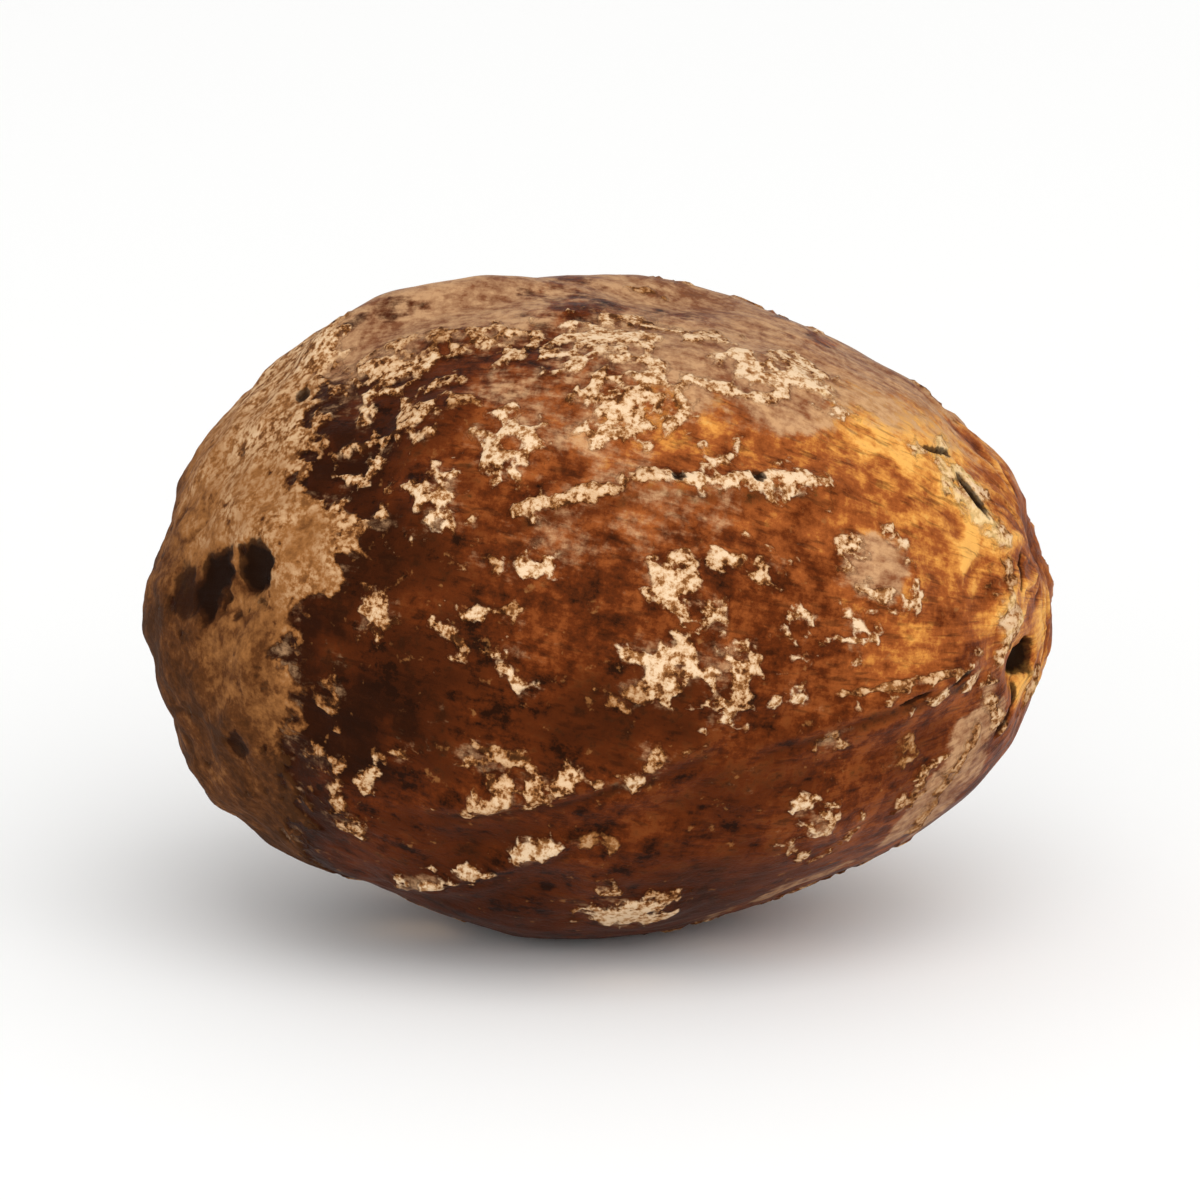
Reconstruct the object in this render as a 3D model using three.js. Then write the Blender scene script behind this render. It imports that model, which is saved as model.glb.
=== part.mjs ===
// A whole nutmeg in its shell, lying on its side as one solid seed.
// X runs along the seed, from its blunt end to its hilum end, and Z is up.
// The origin is under the middle of the seed, on the surface that it lies on.
// A place on the shell is given by two numbers: "along" is its distance from mid length, in millimetres,
// and "around" is its angle up from the front (-Y), in degrees, so that 90 is the top.
import * as THREE from "three";
import { ImprovedNoise } from "three/addons/math/ImprovedNoise.js";
import { mergeVertices } from "three/addons/utils/BufferGeometryUtils.js";

const { degToRad, smoothstep, lerp } = THREE.MathUtils;

// Driving dimensions, in millimetres.
const LENGTH = 29.3;
const WIDTH = 22.2;
const HEIGHT = 21.5;
const TAPER = 0.07; // share by which the hilum end is leaner and the blunt end fuller than an ellipsoid
const REST_FLAT_DEPTH = 0.22; // how much of the lowest shell is pressed flat where the seed lies
const REST_CALM = 4.5; // reach of the smooth shell round that flat
const REST = { along: -0.8, around: -90 };
const SPHERE_DETAIL = 22; // splits of each edge of the icosahedron that the shell is drawn out from

// Broad swellings and flats of the shell.
const SWELLS = [
  { along: -14.5, around: 0, reach: 3, rise: 0.4 },
  { along: -13.4, around: 105, reach: 3, rise: 0.3 },
  { along: -13.2, around: -70, reach: 3.6, rise: 0.38 },
  { along: -6.5, around: 105, reach: 6, rise: 0.5 },
  { along: -8, around: -75, reach: 6, rise: -0.45 },
  { along: 4, around: 105, reach: 6, rise: 0.2 },
  { along: 11.8, around: 105, reach: 4.5, rise: 0.18 },
  { along: 8.5, around: -70, reach: 6, rise: -0.25 },
  { along: 14.5, around: 0, reach: 3, rise: -0.2 },
  { along: 4, around: 195, reach: 7, rise: -0.4 },
  { along: -5, around: 240, reach: 6, rise: 0.3 },
];

// Unevenness all over: coarse lumps and finer dents.
const LUMPS = [
  { wavelength: 5.5, height: 0.3 },
  { wavelength: 2.4, height: 0.14 },
];

// Low ridges that the mace left, each with a furrow under it. They wind slightly round the seed.
const RIDGE_HEIGHT = 0.26;
const RIDGE_WIDTH = 0.8;
const FURROW_DEPTH = 0.22;
const FURROW_OFFSET = 1.6;
const RIDGE_FADE = 1.5; // length over which a ridge dies out at each end
const RIDGE_WANDER = 0.5; // how far a ridge strays from its line
const RIDGE_WANDER_WAVELENGTH = 3;
const FRONT_RIDGES = [
  { from: { along: -4, around: 31 }, to: { along: 8.5, around: 43 } },
  { from: { along: -6, around: -24 }, to: { along: 4, around: -10 } },
  { from: { along: -7.5, around: -52 }, to: { along: -0.5, around: -27 } },
  { from: { along: 5, around: -12 }, to: { along: 12.5, around: -2 } },
];
const BACK_RIDGES = 6;
const BACK_FIRST = 88;
const BACK_STEP = 27;
const BACK_TWIST = 16; // degrees that a back ridge winds round over its length
const BACK_RIDGE_REACH = { from: -8, to: 7 };
const BACK_RIDGE_STAGGER = 2; // every other ridge starts this much further along, the rest further back

// The hilum, the scar at the +X end: a disc of folds with a crease and a low rim round it, and one deep pit.
const HILUM_CENTRE = { front: 0.7, up: 2 };
const HILUM_RADIUS = 4.4;
const HILUM_WANDER = 1.1; // how far the crease strays from its circle
const HILUM_WANDER_WAVELENGTH = 3;
const CREASE_DEPTH = 0.16;
const CREASE_WIDTH = 0.7;
const RIM_HEIGHT = 0.1;
const RIM_OFFSET = 1.3;
const FOLD_HEIGHT = 0.24;
const FOLD_LENGTH = 8;
const FOLDS_ROUND = 2.6; // more of this makes narrower folds
const PIT = { along: 13.7, around: -16, reach: 1.1, rise: -0.7 };

// The pale outer skin that is left on the shell: a cap over the blunt end, a tongue of it along the top,
// a dark gap in the cap, and loose flakes.
const SKIN_THICKNESS = 0.24;
const SKIN_EDGE = 0.45; // half the width of the slope at a patch's edge
const SKIN_RAGGED = 0.7; // how far a patch's edge strays
const SKIN_RAGGED_WAVELENGTH = 1.7;
const CAP_EDGE = -8.8;
const CAP_RAGGED = 1.4;
const TONGUE = { along: -5, around: 84, length: 11, width: 4.6, slant: 0 };
const CAP_GAP = { along: -12.1, around: 21, length: 3, width: 2.4, slant: 0 };
const FRONT_FLAKES = [
  { along: 3.5, around: 63, length: 8.5, width: 4.4, slant: -4 },
  { along: -2.9, around: 45, length: 2.2, width: 2, slant: 0 },
  { along: -5.8, around: 53, length: 2.1, width: 1.8, slant: 20 },
  { along: -5.7, around: 35, length: 1.6, width: 1.8, slant: 0 },
  { along: 3, around: 19, length: 2.5, width: 2, slant: 10 },
  { along: 3.3, around: 2, length: 5, width: 2.2, slant: -12 },
  { along: 9.1, around: 24, length: 2.4, width: 2.2, slant: 0 },
  { along: -2.6, around: -17, length: 3.8, width: 1.5, slant: 16 },
  { along: -8.8, around: -26, length: 2, width: 2.4, slant: 60 },
  { along: 1, around: -52, length: 3.2, width: 2.6, slant: 0 },
  { along: 7.4, around: -36, length: 2, width: 1.8, slant: 30 },
];
const BACK_FLAKES = 16;
const BACK_FLAKE_SEED = 7;
const BACK_FLAKE_LENGTH = { least: 1.8, most: 5.5 };
const BACK_FLAKE_SLIMNESS = 0.55; // least width of a back flake, as a share of its length
const BACK_FLAKE_SLANT = 30;
const BACK_FLAKE_ALONG = { from: -8, to: 11 };
const BACK_FLAKE_AROUND = { from: 110, to: 280 };

const SHELL_COLOUR = 0x6f3f1f;
const SHELL_ROUGHNESS = 0.5;

// The multiplier and the prime of a plain repeating row of random draws.
const DRAW_STEP = 16807;
const DRAW_PRIME = 2147483647;

const noise = new ImprovedNoise();

// Smooth unevenness between about -1 and 1 that repeats over a wavelength.
function unevenness(point, wavelength) {
  return noise.noise(point.x / wavelength, point.y / wavelength, point.z / wavelength);
}

// Numbers from 0 to 1, the same row of them for the same seed.
function seededDraws(seed) {
  let state = seed;
  return () => {
    state = (state * DRAW_STEP) % DRAW_PRIME;
    return state / DRAW_PRIME;
  };
}

// The size of the egg's section at a place along it, as a share of the widest section.
function sectionShare(along) {
  const share = THREE.MathUtils.clamp(along / (LENGTH / 2), -1, 1);
  return Math.sqrt(1 - share * share) * (1 - TAPER * share);
}

function onEgg({ along, around }) {
  const angle = degToRad(around);
  const share = sectionShare(along);
  return new THREE.Vector3(
    along,
    (-Math.cos(angle) * share * WIDTH) / 2,
    (Math.sin(angle) * share * HEIGHT) / 2,
  );
}

function outward(point) {
  return new THREE.Vector3(
    point.x / LENGTH ** 2,
    point.y / WIDTH ** 2,
    point.z / HEIGHT ** 2,
  ).normalize();
}

// A round swelling that fades to nothing at its reach.
function swelling(point, swell) {
  const share = point.distanceTo(onEgg(swell)) / swell.reach;
  return share < 1 ? swell.rise * (1 - share * share) ** 2 : 0;
}

function bell(distance, width) {
  return Math.exp(-((distance / width) ** 2));
}

// A ridge runs between two places. Its height at a point comes from how far above its line the point lies.
function ridgeHeight(point, { from, to }) {
  const share = (point.x - from.along) / (to.along - from.along);
  const line = onEgg({ along: point.x, around: lerp(from.around, to.around, share) });
  const level = Math.hypot(line.y, line.z);
  const lineAngle = Math.atan2(line.z, -line.y);
  const turn = Math.atan2(point.z, -point.y) - lineAngle;
  const stray = RIDGE_WANDER * unevenness(point, RIDGE_WANDER_WAVELENGTH);
  const above = level * Math.atan2(Math.sin(turn), Math.cos(turn)) + stray;
  const kept =
    smoothstep(point.x, from.along, from.along + RIDGE_FADE) *
    (1 - smoothstep(point.x, to.along - RIDGE_FADE, to.along));
  const profile =
    RIDGE_HEIGHT * bell(above, RIDGE_WIDTH) -
    FURROW_DEPTH * bell(above + FURROW_OFFSET, RIDGE_WIDTH);
  return kept * profile;
}

function backRidges() {
  return Array.from({ length: BACK_RIDGES }, (_, index) => {
    const around = BACK_FIRST + index * BACK_STEP;
    const shift = index % 2 ? BACK_RIDGE_STAGGER : -BACK_RIDGE_STAGGER;
    return {
      from: { along: BACK_RIDGE_REACH.from + shift, around },
      to: { along: BACK_RIDGE_REACH.to + shift, around: around + BACK_TWIST },
    };
  });
}

function hilumHeight(point) {
  if (point.x < 0) return 0;
  const across = point.y + HILUM_CENTRE.front;
  const up = point.z - HILUM_CENTRE.up;
  const stray = HILUM_WANDER * unevenness(point, HILUM_WANDER_WAVELENGTH);
  const fromCentre = Math.hypot(across, up) + stray;
  const angle = Math.atan2(up, across);
  const fold = noise.noise(
    FOLDS_ROUND * Math.cos(angle),
    FOLDS_ROUND * Math.sin(angle),
    fromCentre / FOLD_LENGTH,
  );
  return (
    FOLD_HEIGHT * fold * bell(fromCentre - HILUM_RADIUS / 2, HILUM_RADIUS / 2) -
    CREASE_DEPTH * bell(fromCentre - HILUM_RADIUS, CREASE_WIDTH) +
    RIM_HEIGHT * bell(fromCentre - HILUM_RADIUS - RIM_OFFSET, CREASE_WIDTH) +
    swelling(point, PIT)
  );
}

// How much of an oval patch of skin covers a point, from 0 to 1.
function patchCover(point, { along, around, length, width, slant }) {
  const centre = onEgg({ along, around });
  const offset = point.clone().sub(centre);
  if (offset.length() > length) return 0;
  const normal = outward(centre);
  const lengthways = new THREE.Vector3(1, 0, 0).projectOnPlane(normal).normalize();
  lengthways.applyAxisAngle(normal, degToRad(slant));
  const crossways = new THREE.Vector3().crossVectors(normal, lengthways);
  const share = Math.hypot(
    offset.dot(lengthways) / (length / 2),
    offset.dot(crossways) / (width / 2),
  );
  const meanRadius = (length + width) / 4;
  const inside = meanRadius * (1 - share) + SKIN_RAGGED * unevenness(point, SKIN_RAGGED_WAVELENGTH);
  return smoothstep(inside, -SKIN_EDGE, SKIN_EDGE);
}

function capCover(point) {
  const inside = CAP_EDGE - point.x + CAP_RAGGED * unevenness(point, SKIN_RAGGED_WAVELENGTH);
  return smoothstep(inside, -SKIN_EDGE, SKIN_EDGE);
}

function backFlakes() {
  const draw = seededDraws(BACK_FLAKE_SEED);
  return Array.from({ length: BACK_FLAKES }, (_, index) => {
    const length = lerp(BACK_FLAKE_LENGTH.least, BACK_FLAKE_LENGTH.most, draw() ** 2);
    const turn = (index + draw()) / BACK_FLAKES;
    return {
      along: lerp(BACK_FLAKE_ALONG.from, BACK_FLAKE_ALONG.to, draw()),
      around: lerp(BACK_FLAKE_AROUND.from, BACK_FLAKE_AROUND.to, turn),
      length,
      width: length * lerp(BACK_FLAKE_SLIMNESS, 1, draw()),
      slant: lerp(-BACK_FLAKE_SLANT, BACK_FLAKE_SLANT, draw()),
    };
  });
}

const ridges = [...FRONT_RIDGES, ...backRidges()];
const flakes = [TONGUE, ...FRONT_FLAKES, ...backFlakes()];

function skinHeight(point) {
  const cover = Math.max(capCover(point), ...flakes.map((flake) => patchCover(point, flake)));
  return SKIN_THICKNESS * (cover - patchCover(point, CAP_GAP));
}

// How far the shell stands out from the plain egg at a point. It is calm round the spot that it rests on.
function relief(point) {
  const swells = SWELLS.reduce((sum, swell) => sum + swelling(point, swell), 0);
  const lumps = LUMPS.reduce((sum, lump) => sum + lump.height * unevenness(point, lump.wavelength), 0);
  const lines = ridges.reduce((sum, ridge) => sum + ridgeHeight(point, ridge), 0);
  const calm = bell(point.distanceTo(onEgg(REST)), REST_CALM);
  return swells + (1 - calm) * (lumps + lines + hilumHeight(point) + skinHeight(point));
}

// The shell: a finely split icosahedron drawn out to the egg, raised by its relief and pressed flat below.
function shellGeometry() {
  const sphere = new THREE.IcosahedronGeometry(1, SPHERE_DETAIL);
  sphere.deleteAttribute("normal");
  sphere.deleteAttribute("uv");
  const geometry = mergeVertices(sphere);
  const positions = geometry.getAttribute("position");
  const direction = new THREE.Vector3();
  for (let index = 0; index < positions.count; index += 1) {
    direction.fromBufferAttribute(positions, index);
    const taper = 1 - TAPER * direction.x;
    const point = new THREE.Vector3(
      (direction.x * LENGTH) / 2,
      (direction.y * taper * WIDTH) / 2,
      (direction.z * taper * HEIGHT) / 2,
    );
    point.addScaledVector(outward(point), relief(point));
    positions.setXYZ(index, point.x, point.y, point.z);
  }
  pressFlat(geometry);
  return geometry;
}

// Presses the lowest shell flat and moves the origin under the middle of the seed.
function pressFlat(geometry) {
  geometry.computeBoundingBox();
  const floor = geometry.boundingBox.min.z + REST_FLAT_DEPTH;
  const positions = geometry.getAttribute("position");
  for (let index = 0; index < positions.count; index += 1) {
    positions.setZ(index, Math.max(positions.getZ(index), floor));
  }
  geometry.computeBoundingBox();
  const middle = geometry.boundingBox.getCenter(new THREE.Vector3());
  geometry.translate(-middle.x, -middle.y, -floor);
  geometry.computeVertexNormals();
}

const nutmeg = new THREE.Group();
const seed = new THREE.Mesh(
  shellGeometry(),
  new THREE.MeshStandardMaterial({ color: SHELL_COLOUR, roughness: SHELL_ROUGHNESS, metalness: 0 }),
);
seed.name = "nutmeg";
nutmeg.add(seed);

export default nutmeg;
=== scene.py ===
import math
from collections import namedtuple

import bpy
import numpy as np
from mathutils import Color, Matrix, Vector, noise
from mathutils.bvhtree import BVHTree


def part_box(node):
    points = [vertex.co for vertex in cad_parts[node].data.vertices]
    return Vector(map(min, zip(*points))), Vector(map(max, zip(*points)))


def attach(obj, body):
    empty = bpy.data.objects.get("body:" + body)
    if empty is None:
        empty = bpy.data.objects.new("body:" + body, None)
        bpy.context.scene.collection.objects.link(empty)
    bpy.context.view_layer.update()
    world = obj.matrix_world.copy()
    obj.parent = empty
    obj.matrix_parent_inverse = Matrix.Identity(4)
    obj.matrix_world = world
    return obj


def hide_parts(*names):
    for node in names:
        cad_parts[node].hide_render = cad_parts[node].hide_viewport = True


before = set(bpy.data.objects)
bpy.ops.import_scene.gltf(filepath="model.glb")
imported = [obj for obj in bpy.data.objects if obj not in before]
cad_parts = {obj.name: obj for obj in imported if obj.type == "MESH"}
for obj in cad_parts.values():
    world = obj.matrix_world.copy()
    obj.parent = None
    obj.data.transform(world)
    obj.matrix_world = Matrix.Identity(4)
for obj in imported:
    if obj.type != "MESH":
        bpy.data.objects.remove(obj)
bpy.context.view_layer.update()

NODE = "nutmeg"
BODY = "root"
MM = 0.001  # the shell is worked out in millimetres, and Blender's unit is the metre

# A place on the shell: "along" is in millimetres from mid length, towards the hilum end, and "around" is
# the angle in degrees up from the front, so that 90 is the top. Sizes are in millimetres, and slants in
# degrees.
Place = namedtuple("Place", "along around")
Patch = namedtuple("Patch", "along around length width slant level")
Flake = namedtuple("Flake", "along around length width slant level chalk")
Ridge = namedtuple("Ridge", "start end skin chalk")
Hilum = namedtuple("Hilum", "lip scar puckers navel")

# Flakes or patches that are drawn at random: how many, the seed, and the least and most of each measure.
# They are spread evenly round the shell, their slimness is the width as a share of the length, and a
# shortness over 1 makes most of them short.
Scatter = namedtuple("Scatter", "count seed along around length shortness slimness slant level")

# A pattern in the colours is a noise that follows the grain or the place, with a wavelength in millimetres.
Pattern = namedtuple("Pattern", "space wavelength detail roughness")

# A smooth slope: the values between which it runs, and what it comes to at each of them.
Slope = namedtuple("Slope", "low high to_low to_high")

Softbox = namedtuple("Softbox", "name place width height power")

# Unevenness: each octave is half as strong as the one before it, with waves half as long, and this is how
# many octaves a lumpy, a ragged and a crumbly form have.
OCTAVE_LOSS = 1.0
OCTAVE_STEP = 2.0
LUMPY = 2
RAGGED = 3
CRUMBLY = 4

# Where a soft patch begins and where it is full, in shares of its half size inwards from its edge.
SHARP = (-0.3, 0.6)
GENTLE = (-0.6, 1.0)
HAZY = (-0.25, 0.5)

# A patch keeps to its own side of the shell. Where the shell turns away from it, points count as further
# outside, by up to FAR_OUTSIDE half sizes: by all of that where the cosine of the turn is the first number
# or less, and by none of it from the second on.
FAR_OUTSIDE = 9.0
OTHER_SIDE = (0.0, 0.4)

# Creases and the hilum's lip break off: the unevenness at which they begin, and from which they are whole.
BREAKS = (-0.1, 0.3)

# The fine mesh over the solid.
FACE_SPLITS = 128
FACET_SMOOTHING = 10  # rounds
WELD_DECIMALS = 6  # points that agree to so many decimals are one
GRAIN_STRETCH = 4.0  # how many times longer than wide the shell's streaks are
GRAIN_TWIST = 1.3  # degrees that the streaks wind round for each millimetre along
GRAIN_RADIUS = 9.0  # the streaks have their full width where the shell is this far from its long axis

# Skin. A flake's level is how deep in it a point can lie: a low one is torn, and below 0 the shell is bare.
# Its chalk is how pale it is, from 0 for dark brown to 1 for nearly white.
BARE_LEVEL = -1.1
SKIN_RAGGED = 0.85
SKIN_WAVELENGTH = 0.62
LACE_CELL = 0.8
LACE_THREAD = 0.35  # how wide a thread is, in cells
LACE_STRENGTH = 0.5
LACE_NEUTRAL = 0.4  # lace of this strength neither adds skin nor takes it away
SKIN_THICKNESS = 0.08
SKIN_EDGE = 0.2  # how deep in skin a point lies where the skin has its full thickness
FLAKES = [
    # The top band and its lower edge.
    Flake(-7.3, 70, 2.2, 1.4, 10, 0.35, 0.75),
    Flake(-6.2, 66, 2.2, 1.2, 15, 0.35, 0.8),
    Flake(-5.6, 73, 3, 1.3, 5, 0.25, 0.65),
    Flake(-3.7, 71, 3, 1.2, 5, 0.2, 0.7),
    Flake(-2.1, 65, 1.6, 0.9, 10, 0.25, 0.85),
    Flake(-1.1, 60, 1.2, 0.7, 20, 0.3, 0.9),
    # The network right of it.
    Flake(0.2, 68, 3.4, 3, 0, 0.2, 0.9),
    Flake(1, 76, 3, 1.4, 10, 0.2, 0.8),
    Flake(1.2, 53, 3.2, 3.2, 0, 0.18, 0.85),
    Flake(-0.1, 46, 0.9, 0.7, 0, 0.3, 0.85),
    Flake(3.5, 74, 1.8, 1.2, 0, 0.2, 0.85),
    Flake(3.9, 57, 3.4, 0.7, -4, 0.3, 0.95),
    Flake(5.6, 65, 3, 2.2, -8, 0.32, 1),
    Flake(6.5, 71, 2.2, 1.2, -8, 0.25, 0.95),
    Flake(7.3, 61, 1.4, 0.9, -15, 0.35, 1),
    # The dark patch beside the cap.
    Flake(-7.7, 58, 0.6, 1.8, 0, 0.5, 0.8),
    Flake(-6.9, 49, 0.9, 0.6, 45, 0.5, 0.75),
    Flake(-5.9, 51.5, 1.4, 1.5, 20, 0.5, 0.8),
    Flake(-5.2, 58, 1.1, 0.7, 0, 0.5, 0.8),
    Flake(-8.3, 47, 0.4, 0.4, 0, 0.3, 0.7),
    Flake(-5.5, 35.5, 1.3, 1.5, 0, 0.3, 0.85),
    Flake(-5.2, 30.2, 0.9, 0.6, 20, 0.35, 0.95),
    Flake(-7, 30.8, 0.8, 0.5, 0, 0.3, 0.7),
    Flake(-3, 44, 2.1, 2.3, 30, 0.2, 0.95),
    Flake(-8.1, 40, 0.35, 0.3, 0, 0.4, 0.8),
    Flake(-7.3, 43, 0.6, 0.4, 40, 0.4, 0.8),
    Flake(-6.3, 37, 0.4, 0.3, 0, 0.4, 0.75),
    Flake(-4.6, 53, 0.5, 0.35, -30, 0.35, 0.6),
    Flake(-6.3, 26.5, 0.5, 0.4, 0, 0.4, 0.85),
    Flake(-4.4, 27.5, 0.5, 0.35, 0, 0.35, 0.7),
    # The middle of the front.
    Flake(-2.2, 21.8, 1.3, 0.6, 10, 0.4, 1),
    Flake(-2.1, 26.8, 0.4, 0.9, 0, 0.35, 0.85),
    Flake(-3.8, 21.6, 0.7, 0.5, 0, 0.15, 0.6),
    Flake(-7.2, 12.4, 1.1, 1, 10, 0.35, 0.7),
    Flake(-4.2, 13.1, 0.8, 0.4, 0, 0.35, 0.9),
    Flake(-4.9, 10.2, 0.45, 0.45, 0, 0.35, 0.85),
    Flake(-4.6, 7.3, 0.55, 0.4, 30, 0.35, 0.8),
    Flake(-2.7, 12, 0.4, 0.4, 0, 0.3, 0.6),
    Flake(-2.9, 5.7, 0.45, 0.5, 0, 0.35, 1),
    Flake(-2.8, 1.9, 0.9, 0.4, -45, 0.35, 0.85),
    Flake(-2.3, -0.6, 0.55, 0.5, 30, 0.4, 1),
    Flake(-8.7, -4.5, 0.7, 0.8, 0, 0.3, 0.45),
    Flake(2.6, 19.2, 1.7, 1.9, 0, 0.28, 0.85),
    Flake(3.8, 21.4, 1.2, 0.6, 35, 0.35, 0.85),
    Flake(3.7, 13.2, 0.6, 1.3, 15, 0.4, 0.85),
    Flake(3, 14.8, 1.4, 0.4, 0, 0.3, 0.9),
    Flake(5.3, 21.1, 0.9, 0.6, 0, 0.25, 0.8),
    Flake(1.4, 5.3, 0.9, 0.5, -15, 0.35, 0.95),
    Flake(2.4, 3.6, 1.5, 2.2, -25, 0.33, 0.85),
    Flake(4.1, 0.8, 1.7, 2.2, -10, 0.33, 0.85),
    Flake(4.7, 4.6, 0.6, 1, -20, 0.4, 0.85),
    Flake(4.1, -4.4, 1, 0.8, 0, 0.35, 0.95),
    Flake(5.5, -4, 0.5, 0.4, 0, 0.35, 1),
    Flake(6.3, -2.1, 1, 0.35, -50, 0.4, 1),
    Flake(0.9, -0.8, 1, 0.8, 0, 0.05, 0.5),
    Flake(6.6, 9.6, 1, 0.9, 30, 0.4, 1),
    Flake(8.4, 8.4, 0.9, 1.1, 0, 0.45, 1),
    Flake(8.2, 23, 0.5, 1.3, 10, 0.2, 0.85),
    Flake(9.7, 27.6, 0.8, 0.4, -40, 0.3, 0.9),
    Flake(10.1, 15.1, 0.6, 0.5, -40, 0.4, 1),
    Flake(9, 15.9, 0.9, 0.35, 0, 0.3, 0.9),
    # Below the middle.
    Flake(-3.5, -12.4, 2, 0.9, 0, 0.3, 0.6),
    Flake(-3.8, -21.5, 1.1, 0.7, 10, 0.3, 0.6),
    Flake(-2.5, -18, 1.8, 1.2, 16, 0.28, 0.7),
    Flake(-1.3, -15.6, 1.2, 0.8, 20, 0.33, 0.75),
    Flake(1.1, -16.2, 0.7, 0.45, 15, 0.35, 0.75),
    Flake(1.8, -12.4, 0.9, 0.9, 0, 0.3, 0.6),
    Flake(-5.7, -44.2, 1.2, 0.7, 22, 0.5, 1),
    Flake(-4.3, -39.3, 1.5, 0.6, 18, 0.5, 1),
    Flake(-2.2, -31.4, 1.6, 1, 10, 0.5, 1),
    Flake(-0.3, -29.1, 1.5, 0.5, -15, 0.25, 0.45),
    Flake(-9, -17.8, 1.1, 0.9, 0, 0.4, 0.55),
    Flake(-8.5, -25, 0.6, 1.7, 15, 0.4, 0.65),
    Flake(-8.4, -33.4, 1, 0.6, -20, 0.35, 0.75),
    Flake(-7.6, -20, 0.4, 0.8, 0, 0.4, 0.85),
    Flake(-6.5, -13.8, 0.5, 0.4, 0, 0.3, 0.6),
    Flake(0.9, -51, 2.9, 1.8, 0, 0.4, 1),
    Flake(2.3, -46, 0.7, 0.7, 30, 0.35, 0.75),
    Flake(0.3, -43.5, 0.5, 0.9, 0, 0.3, 0.7),
    Flake(7.3, -33.4, 0.8, 0.8, 40, 0.35, 0.9),
    Flake(6.5, -42, 0.5, 1.4, 20, 0.3, 0.85),
    Flake(8, -42, 1, 0.35, 30, 0.3, 0.8),
    Flake(6.8, -26.9, 0.5, 0.5, 0, 0.4, 0.95),
    Flake(7.7, -13.4, 0.9, 0.7, 0, 0.2, 0.6),
    Flake(9.8, -25.8, 0.9, 0.5, 20, 0.15, 0.5),
    Flake(10.5, -35.7, 1.2, 0.5, 30, 0.35, 0.75),
    # The hilum's lens and pale strips, and pale lines beside them.
    Flake(12, 50, 3.6, 1.5, -25, 0.5, 0.75),
    Flake(13.1, 40, 1.6, 0.6, -60, 0.45, 0.75),
    Flake(13.3, 29, 1.7, 0.45, -85, 0.4, 0.65),
    Flake(13.1, -6, 2.4, 0.5, 58, 0.45, 0.75),
    Flake(13, -28, 2.2, 0.5, -70, 0.4, 0.7),
    Flake(14, -53, 1.8, 0.8, 37, 0.5, 0.6),
    Flake(10.4, -4, 4.9, 0.3, 6, 0.2, 0.6),
    Flake(11.3, -8.7, 1.3, 0.3, 15, 0.4, 0.9),
    Flake(12.1, -3.8, 1.1, 0.3, 20, 0.4, 0.9),
    Flake(12.2, -9.5, 1, 0.3, 25, 0.4, 0.85),
    Flake(11.8, -38, 2.1, 0.5, 45, 0.3, 0.5),
    Flake(10.7, -54, 2.8, 0.7, 63, 0.3, 0.5),
    Flake(10.2, -40, 1.5, 0.4, 45, 0.3, 0.55),
    # White specks on the right half of the upper ridge.
    Flake(3.2, 37.2, 1.1, 0.7, 20, 0.5, 1),
    Flake(4, 41, 0.7, 0.6, 30, 0.5, 1),
    Flake(5.9, 37.8, 1.6, 0.7, 5, 0.5, 1),
    Flake(6.9, 39, 0.7, 0.6, 0, 0.45, 1),
]
BACK_FLAKES = Scatter(
    count=95, seed=11, along=(-8.5, 11.5), around=(94, 288), length=(0.6, 4), shortness=2.5,
    slimness=(0.35, 0.9), slant=(-10, 40), level=(0.1, 0.4),
)
BACK_CHALK = (0.5, 1)

# The cap of skin over the blunt end: the places where its edge runs, and the gaps in it.
CAP_EDGE = [
    # Under the seed.
    Place(-10.6, -103), Place(-8.1, -90), Place(-8.4, -82), Place(-10.2, -73), Place(-8.8, -61),
    # Up the front.
    Place(-9.9, -48), Place(-9.6, -29), Place(-10.2, -24), Place(-10, -14), Place(-9.6, -3),
    Place(-10.2, 3), Place(-9.7, 14.5), Place(-8.2, 18), Place(-7.8, 31), Place(-8.8, 36),
    Place(-9.7, 41), Place(-9.3, 54), Place(-9, 66), Place(-8.4, 90),
    # Over the top and down the back.
    Place(-9.5, 102), Place(-8.5, 113), Place(-9.9, 124), Place(-9.2, 137), Place(-10.2, 150),
    Place(-8.4, 161), Place(-8, 172), Place(-9.6, 184), Place(-10.1, 197), Place(-8.6, 209),
    Place(-9.9, 222), Place(-7.9, 237), Place(-8.8, 247),
]
CAP_LEVEL = 0.9
CAP_FADE = 2.0  # its lumps and creases have their full depth this far inside its edge
CAP_CHALK = 0.08
CAP_CHALK_LEAST = 0.03
CAP_PAINTED_LIGHT_UP = 0.05  # painted light from above: how much paler for each millimetre up
CAP_PAINTED_SHADE_ALONG = 0.05  # painted shade on the far end: how much paler for each millimetre towards its edge, counted from CAP_MIDDLE
CAP_MIDDLE = -13.0
CAP_MARGIN = 5.0  # the most millimetres that count on either side of CAP_MIDDLE
CAP_CLOUDS = 0.18
CAP_CLOUD_WAVELENGTH = 2.2
CREASE_WAVELENGTH = 2.0
CREASE_LENGTH = 3.2  # about how far a crease goes on before it breaks off
CREASE_WIDTH = 0.1  # in unevenness, whose zeros the creases follow
CREASE_DEPTH = 0.08
# Painted shade in the creases, taken off the cap's paleness.
CREASE_PAINTED_SHADE = 0.2
CAP_GAPS = [
    Patch(-11.1, 22, 1.7, 1.9, 0, 1.5),
    Patch(-12.4, 24, 2, 1.5, 20, 1.2),
    Patch(-12.8, 16, 1.7, 1.6, -20, 1.2),
    Patch(-13.6, 17, 1.8, 2.2, 0, 0.6),
    Patch(-11.8, -25, 0.9, 1.3, 0, 0.65),
    Patch(-9.6, 71, 0.5, 0.7, 0, 0.8),
]
GAP_DEPTH = 0.2
GAP_RAGGED = 0.4
GAP_WAVELENGTH = 0.7

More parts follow.
